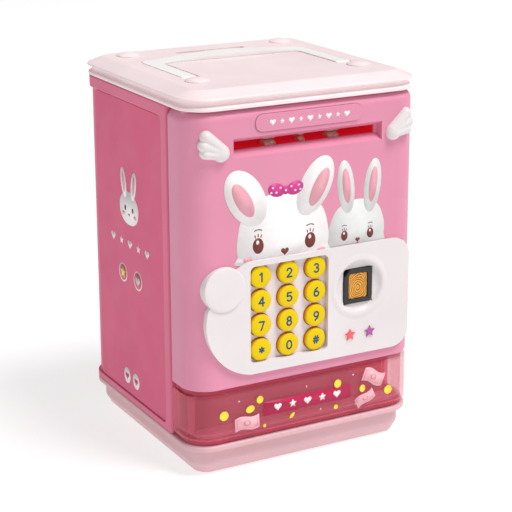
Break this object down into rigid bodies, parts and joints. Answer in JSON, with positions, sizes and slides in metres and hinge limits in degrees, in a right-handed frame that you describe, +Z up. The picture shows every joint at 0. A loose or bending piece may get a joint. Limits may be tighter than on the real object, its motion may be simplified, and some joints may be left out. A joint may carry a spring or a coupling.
{
  "type": "toy safe coin bank",
  "caption": "Pink toy safe money box with a keypad door on a side hinge, banknote feed slot, clear coin window, coin slot and flush carry handle in the lid.",
  "frame": {"origin": "bottom centre of the bounding box, in the plane the four rubber feet stand on", "axes": "+Z up; -Y out of the door's face; +X towards the viewer's right"},
  "size_m": [0.1396, 0.1404, 0.2089],
  "materials": {
    "base_pink": "satin moulded plastic, pale dusty pink",
    "foot_rubber": "matt rubber",
    "floor_pink": "satin moulded plastic",
    "body_pink": "satin moulded plastic, rose pink",
    "crimson": "satin moulded plastic, crimson",
    "lid_pale_pink": "satin moulded plastic, nearly white pink",
    "pin_steel": "plain steel",
    "door_pink": "satin moulded plastic, light pink",
    "clear_plastic": "clear polished plastic with a pink tint",
    "white_plastic": "satin white plastic",
    "lens_red": "translucent tinted plastic",
    "lens_purple": "translucent tinted plastic",
    "membrane_rubber": "soft rubber",
    "circuit_green": "glass-fibre circuit board",
    "black_plastic": "black plastic",
    "sensor_gold": "gold-coloured coated plate",
    "cell_jacket": "printed metal jacket",
    "key_yellow": "satin yellow plastic"
  },
  "bodies": {
    "case": {"base_tray": "base_pink", "foot_front_left": "foot_rubber", "foot_rear_left": "foot_rubber", "foot_front_right": "foot_rubber", "foot_rear_right": "foot_rubber", "inner_floor": "floor_pink", "body_shell": "body_pink", "inner_liner": "crimson", "left_side_panel": "body_pink", "right_side_panel": "body_pink", "top_cap": "lid_pale_pink", "dome_front_left": "lid_pale_pink", "dome_front_right": "lid_pale_pink", "dome_rear_left": "lid_pale_pink", "dome_rear_right": "lid_pale_pink", "hinge_pin_lower": "pin_steel", "hinge_pin_upper": "pin_steel", "strike_plate": "pin_steel"},
    "door": {"door_shell": "door_pink", "name_plate": "door_pink", "clear_window": "clear_plastic", "wing_left": "white_plastic", "wing_right": "white_plastic", "keypad_panel": "white_plastic", "star_lens_red": "lens_red", "star_lens_purple": "lens_purple", "keypad_membrane": "membrane_rubber", "main_board": "circuit_green", "fingerprint_bezel": "black_plastic", "slot_liner": "crimson", "feed_motor": "pin_steel", "speaker": "black_plastic", "door_inner_cover": "door_pink", "battery_cover": "door_pink", "battery_1": "cell_jacket", "battery_2": "cell_jacket", "battery_3": "cell_jacket", "lock_housing": "white_plastic", "lock_solenoid": "pin_steel"},
    "handle": {"carry_handle": "white_plastic"},
    "key_1": {"key_1": "key_yellow"},
    "key_2": {"key_2": "key_yellow"},
    "key_3": {"key_3": "key_yellow"},
    "key_4": {"key_4": "key_yellow"},
    "key_5": {"key_5": "key_yellow"},
    "key_6": {"key_6": "key_yellow"},
    "key_7": {"key_7": "key_yellow"},
    "key_8": {"key_8": "key_yellow"},
    "key_9": {"key_9": "key_yellow"},
    "key_star": {"key_star": "key_yellow"},
    "key_0": {"key_0": "key_yellow"},
    "key_hash": {"key_hash": "key_yellow"},
    "fingerprint_pad": {"fingerprint_pad": "sensor_gold"},
    "latch_bolt": {"latch_bolt": "pin_steel"},
    "power_switch": {"power_switch": "black_plastic"},
    "feed_roller": {"feed_roller": "membrane_rubber"},
    "pinch_roller": {"pinch_roller": "membrane_rubber"},
    "motor_pinion": {"motor_pinion": "white_plastic"}
  },
  "joints": [
    {"name": "door_hinge", "type": "hinge", "parent": "case", "child": "door", "pos_m": [-0.0635, -0.05345, 0.11], "axis": [0, 0, -1], "range_deg": [0, 110]},
    {"name": "handle_hinge", "type": "hinge", "parent": "case", "child": "handle", "pos_m": [0, -0.0215, 0.2036], "axis": [1, 0, 0], "range_deg": [0, 90]},
    {"name": "key_1_press", "type": "slide", "parent": "door", "child": "key_1", "axis": [0, 1, 0], "range_m": [0, 0.0012], "stiffness_N_per_m": 300, "springref_m": -0.0004},
    {"name": "key_2_press", "type": "slide", "parent": "door", "child": "key_2", "axis": [0, 1, 0], "range_m": [0, 0.0012], "stiffness_N_per_m": 300, "springref_m": -0.0004},
    {"name": "key_3_press", "type": "slide", "parent": "door", "child": "key_3", "axis": [0, 1, 0], "range_m": [0, 0.0012], "stiffness_N_per_m": 300, "springref_m": -0.0004},
    {"name": "key_4_press", "type": "slide", "parent": "door", "child": "key_4", "axis": [0, 1, 0], "range_m": [0, 0.0012], "stiffness_N_per_m": 300, "springref_m": -0.0004},
    {"name": "key_5_press", "type": "slide", "parent": "door", "child": "key_5", "axis": [0, 1, 0], "range_m": [0, 0.0012], "stiffness_N_per_m": 300, "springref_m": -0.0004},
    {"name": "key_6_press", "type": "slide", "parent": "door", "child": "key_6", "axis": [0, 1, 0], "range_m": [0, 0.0012], "stiffness_N_per_m": 300, "springref_m": -0.0004},
    {"name": "key_7_press", "type": "slide", "parent": "door", "child": "key_7", "axis": [0, 1, 0], "range_m": [0, 0.0012], "stiffness_N_per_m": 300, "springref_m": -0.0004},
    {"name": "key_8_press", "type": "slide", "parent": "door", "child": "key_8", "axis": [0, 1, 0], "range_m": [0, 0.0012], "stiffness_N_per_m": 300, "springref_m": -0.0004},
    {"name": "key_9_press", "type": "slide", "parent": "door", "child": "key_9", "axis": [0, 1, 0], "range_m": [0, 0.0012], "stiffness_N_per_m": 300, "springref_m": -0.0004},
    {"name": "key_star_press", "type": "slide", "parent": "door", "child": "key_star", "axis": [0, 1, 0], "range_m": [0, 0.0012], "stiffness_N_per_m": 300, "springref_m": -0.0004},
    {"name": "key_0_press", "type": "slide", "parent": "door", "child": "key_0", "axis": [0, 1, 0], "range_m": [0, 0.0012], "stiffness_N_per_m": 300, "springref_m": -0.0004},
    {"name": "key_hash_press", "type": "slide", "parent": "door", "child": "key_hash", "axis": [0, 1, 0], "range_m": [0, 0.0012], "stiffness_N_per_m": 300, "springref_m": -0.0004},
    {"name": "fingerprint_press", "type": "slide", "parent": "door", "child": "fingerprint_pad", "axis": [0, 1, 0], "range_m": [0, 0.0008], "stiffness_N_per_m": 300, "springref_m": -0.0004},
    {"name": "latch_slide", "type": "slide", "parent": "door", "child": "latch_bolt", "axis": [1, 0, 0], "range_m": [0, 0.006]},
    {"name": "switch_slide", "type": "slide", "parent": "door", "child": "power_switch", "axis": [1, 0, 0], "range_m": [0, 0.003]},
    {"name": "feed_spin", "type": "hinge", "parent": "door", "child": "feed_roller", "pos_m": [0, -0.0553, 0.1726], "axis": [1, 0, 0], "continuous": true},
    {"name": "pinch_spin", "type": "hinge", "parent": "door", "child": "pinch_roller", "pos_m": [0, -0.0553, 0.1818], "axis": [1, 0, 0], "continuous": true},
    {"name": "pinion_spin", "type": "hinge", "parent": "door", "child": "motor_pinion", "pos_m": [0.054, -0.0553, 0.163], "axis": [1, 0, 0], "continuous": true}
  ],
  "couplings": [
    {"joint": "pinch_spin", "follows": "feed_spin", "ratio": -1},
    {"joint": "pinion_spin", "follows": "feed_spin", "ratio": -2.2}
  ]
}
